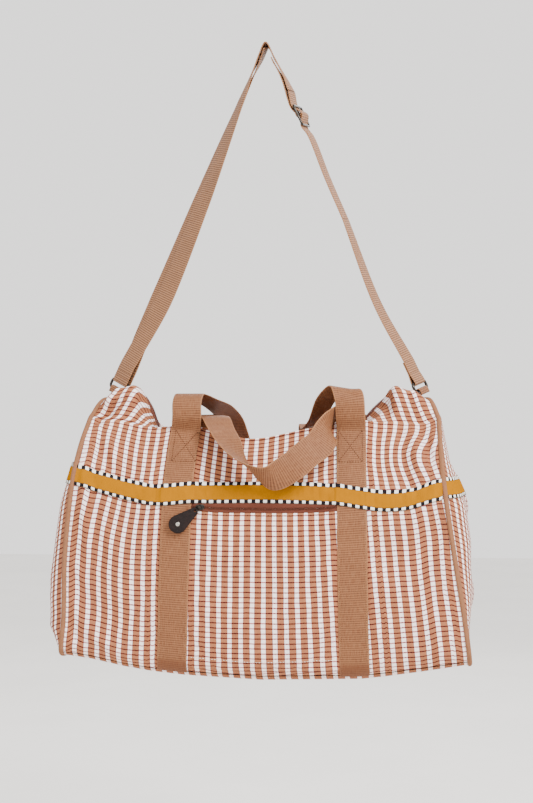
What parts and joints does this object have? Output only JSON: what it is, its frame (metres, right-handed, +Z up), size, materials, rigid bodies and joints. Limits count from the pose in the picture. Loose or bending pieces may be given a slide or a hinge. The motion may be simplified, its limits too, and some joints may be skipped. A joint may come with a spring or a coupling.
{
  "type": "weekender bag",
  "caption": "Zipped canvas weekender bag with vertical stripes, a woven band, crossed webbing handles and a long shoulder strap, hanging by its strap.",
  "frame": {"origin": "the hang point: the middle of the strap's underside where it folds over its support", "axes": "+Z up along the hanging strap, +X along the bag, the pocket faces -Y"},
  "size_m": [0.565, 0.3004, 0.8388],
  "materials": {
    "canvas": "woven stripe canvas",
    "webbing": "ribbed nylon webbing",
    "band": "satin jacquard ribbon",
    "piping": "twill piping",
    "zip_tape": "woven zip tape",
    "zip_coil": "nylon coil",
    "lining": "plain cotton",
    "pull_leather": "smooth dark leather",
    "hardware": "dark gunmetal plating",
    "rivet": "nickel plating"
  },
  "bodies": {
    "strap": {"strap_outer_run": "webbing", "strap_slide_run": "webbing", "strap_right_run": "webbing", "strap_return_left": "webbing", "strap_return_right": "webbing", "strap_fold_left": "webbing", "strap_fold_right": "webbing"},
    "adjuster": {"adjuster_frame": "hardware", "adjuster_bar": "hardware", "strap_sewn_end": "webbing"},
    "ring_left": {"ring_left": "hardware"},
    "ring_right": {"ring_right": "hardware"},
    "rear_handle": {"rear_handle_loop": "webbing"},
    "front_handle": {"front_handle_loop": "webbing"},
    "pocket_slider": {"pocket_slider": "hardware", "pocket_slider_bail": "hardware"},
    "pocket_pull": {"pocket_pull_loop": "hardware", "pocket_pull": "pull_leather", "pocket_pull_rivet": "rivet"},
    "main_slider": {"main_slider": "hardware", "main_slider_bail": "hardware"},
    "main_pull": {"main_pull_loop": "hardware", "main_pull": "pull_leather", "main_pull_rivet": "rivet"},
    "bag": {"front_panel": "canvas", "back_panel": "canvas", "base_panel": "canvas", "end_panel_left": "canvas", "end_panel_right": "canvas", "pocket_panel": "canvas", "front_leg_left": "webbing", "front_leg_right": "webbing", "back_leg_left": "webbing", "back_leg_right": "webbing", "rear_handle_crossing_left": "webbing", "rear_handle_crossing_right": "webbing", "front_handle_crossing_left": "webbing", "front_handle_crossing_right": "webbing", "ring_tab_left": "webbing", "ring_tab_right": "webbing", "band_front": "band", "band_back": "band", "band_end_left": "band", "band_end_right": "band", "piping_left": "piping", "piping_right": "piping", "pocket_zip_tape_upper": "zip_tape", "pocket_zip_tape_lower": "zip_tape", "main_zip_tape_front": "zip_tape", "main_zip_tape_back": "zip_tape", "pocket_zip_coil": "zip_coil", "main_zip_coil": "zip_coil", "lining_body": "lining", "lining_end_left": "lining", "lining_end_right": "lining", "pocket_lining": "lining"}
  },
  "joints": [
    {"name": "bag_swing", "type": "hinge", "parent": "strap", "child": "bag", "pos_m": [0.003, 0, -0.4486], "axis": [1, 0, 0], "range_deg": [-25, 25], "deforming": ["strap_fold_left", "strap_fold_right"]},
    {"name": "ring_left_pivot", "type": "hinge", "parent": "bag", "child": "ring_left", "pos_m": [-0.20152, 0, -0.45945], "axis": [-0.6171, 0.7332, 0.2856], "range_deg": [-20, 20], "deforming": ["strap_fold_left"]},
    {"name": "ring_right_pivot", "type": "hinge", "parent": "bag", "child": "ring_right", "pos_m": [0.20752, 0, -0.45945], "axis": [0.3993, 0.898, 0.1848], "range_deg": [-20, 20], "deforming": ["strap_fold_right"]},
    {"name": "rear_handle_swing", "type": "hinge", "parent": "bag", "child": "rear_handle", "pos_m": [0.018, -0.078, -0.502], "axis": [-1, 0, 0], "range_deg": [0, 140], "deforming": ["rear_handle_crossing_left", "rear_handle_crossing_right"]},
    {"name": "front_handle_swing", "type": "hinge", "parent": "bag", "child": "front_handle", "pos_m": [0, 0.078, -0.502], "axis": [1, 0, 0], "range_deg": [0, 140], "deforming": ["front_handle_crossing_left", "front_handle_crossing_right"]},
    {"name": "pocket_zip_slide", "type": "slide", "parent": "bag", "child": "pocket_slider", "axis": [1, 0, 0], "range_m": [0, 0.155]},
    {"name": "pocket_pull_lift", "type": "hinge", "parent": "pocket_slider", "child": "pocket_pull", "pos_m": [-0.07091, -0.12148, -0.60932], "axis": [-0.616, 0, 0.7877], "range_deg": [0, 120]},
    {"name": "main_zip_slide", "type": "slide", "parent": "bag", "child": "main_slider", "axis": [1, 0, 0], "range_m": [-0.14, 0]},
    {"name": "main_pull_lift", "type": "hinge", "parent": "main_slider", "child": "main_pull", "pos_m": [0.092, 0, -0.5545], "axis": [0, 1, 0], "range_deg": [0, 140]},
    {"name": "adjuster_slide", "type": "slide", "parent": "strap", "child": "adjuster", "axis": [0.42, 0, -0.9075], "range_m": [0, 0.12], "deforming": ["strap_slide_run", "strap_return_right"]}
  ]
}
